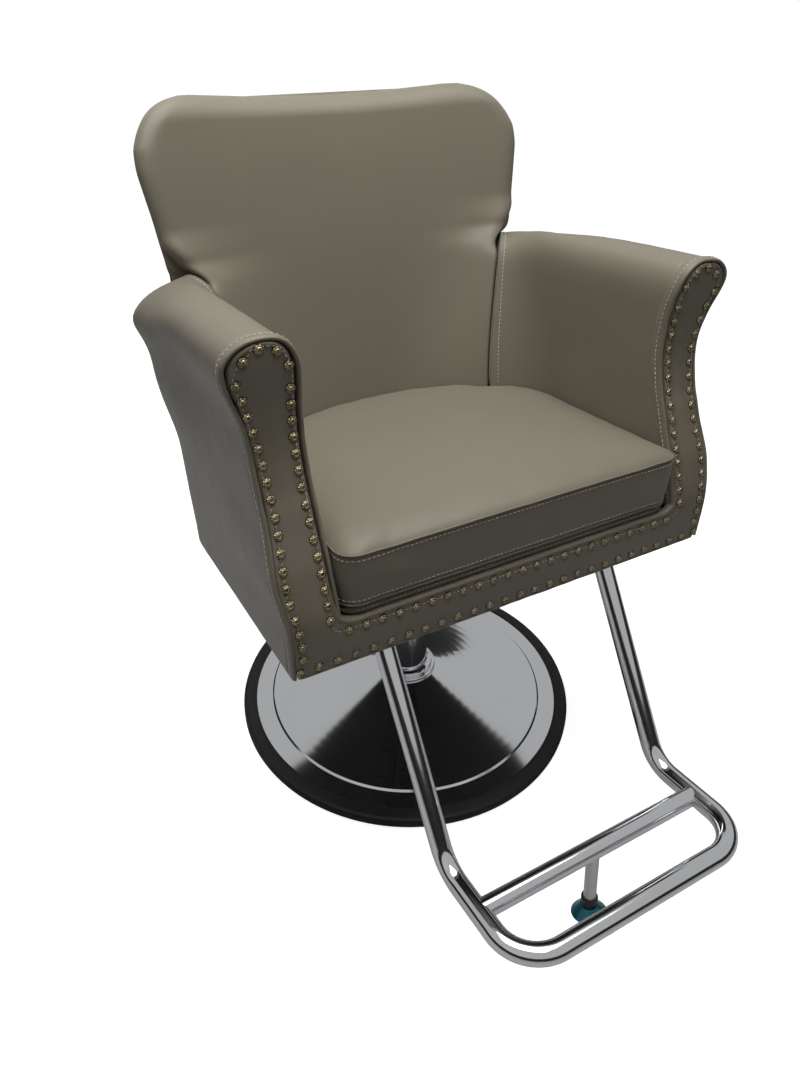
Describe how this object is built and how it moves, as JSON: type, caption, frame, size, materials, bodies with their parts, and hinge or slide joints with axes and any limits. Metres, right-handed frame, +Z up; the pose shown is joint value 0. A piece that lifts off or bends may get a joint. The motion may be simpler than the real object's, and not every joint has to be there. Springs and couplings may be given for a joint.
{
  "type": "hairdressing chair",
  "caption": "Hydraulic hairdressing chair with a studded tub seat, round chrome base, pump pedal and tubular footrest.",
  "frame": {"origin": "centre of the round base on the floor", "axes": "+Z up along the column, -Y the way the seated person faces, +X to the right seen from the front"},
  "size_m": [0.686, 0.99, 0.9731],
  "materials": {
    "polished_chrome": "polished",
    "satin_steel": "satin",
    "black_rubber": "matte",
    "black_steel": "satin",
    "cylinder_steel": "ground",
    "bronze_bush": "turned",
    "timber": "sawn",
    "black_cloth": "matte",
    "taupe_leatherette": "smooth with a soft sheen",
    "antique_brass": "dark antique patina",
    "black_plastic": "matte",
    "teal_plastic": "moulded"
  },
  "bodies": {
    "base": {"base_plate": "black_steel", "base_rubber_edge": "black_rubber", "base_hub": "black_steel", "base_dish": "polished_chrome", "pump_base": "polished_chrome", "pump_bolts": "black_steel", "column_sleeve": "polished_chrome", "pump_cylinder": "cylinder_steel", "guide_bush": "bronze_bush", "wiper_seal": "black_rubber", "pedal_pin": "satin_steel", "pin_clips": "black_steel", "plunger_spring": "satin_steel"},
    "pedal": {"pedal_lever": "polished_chrome", "pedal_pad": "black_rubber"},
    "plunger": {"plunger": "satin_steel"},
    "lift": {"lift_ram": "polished_chrome", "piston_seal": "black_rubber", "thrust_bearing": "satin_steel"},
    "seat": {"footrest_frame": "polished_chrome", "footrest_crossbar": "polished_chrome", "support_leg": "satin_steel", "plate_bolts": "satin_steel", "footrest_bolts": "satin_steel", "swivel_hub": "black_steel", "seat_plate": "black_steel", "footrest_brackets": "black_steel", "side_rails": "timber", "end_rails": "timber", "cross_rails": "timber", "back_gussets": "timber", "left_arm_board": "timber", "right_arm_board": "timber", "front_board": "timber", "back_board": "timber", "dust_cover": "black_cloth", "seat_deck": "taupe_leatherette", "seat_cushion": "taupe_leatherette", "left_arm": "taupe_leatherette", "right_arm": "taupe_leatherette", "left_side_panel": "taupe_leatherette", "right_side_panel": "taupe_leatherette", "front_panel": "taupe_leatherette", "back_pad": "taupe_leatherette", "outer_back": "taupe_leatherette", "nail_heads": "antique_brass", "leg_ring": "black_plastic"},
    "foot": {"foot_stem": "satin_steel", "foot_disc": "teal_plastic"}
  },
  "joints": [
    {"name": "lift", "type": "slide", "parent": "base", "child": "lift", "axis": [0, 0, 1], "range_m": [-0.045, 0.105]},
    {"name": "swivel", "type": "hinge", "parent": "lift", "child": "seat", "pos_m": [0, 0, 0.385], "axis": [0, 0, 1], "continuous": true},
    {"name": "pedal_press", "type": "hinge", "parent": "base", "child": "pedal", "pos_m": [0, 0.049, 0.11], "axis": [-1, 0, 0], "range_deg": [0, 12], "stiffness_Nm_per_rad": 10, "springref_deg": -20.05},
    {"name": "plunger_stroke", "type": "slide", "parent": "base", "child": "plunger", "axis": [0, 0, -1], "range_m": [0, 0.0031], "deforming": ["plunger_spring"]},
    {"name": "foot_adjust", "type": "slide", "parent": "seat", "child": "foot", "axis": [0, -0.1502, -0.9887], "range_m": [-0.005, 0.015]}
  ],
  "couplings": [
    {"joint": "plunger_stroke", "follows": "pedal_press", "m_per_rad": 0.0146}
  ]
}
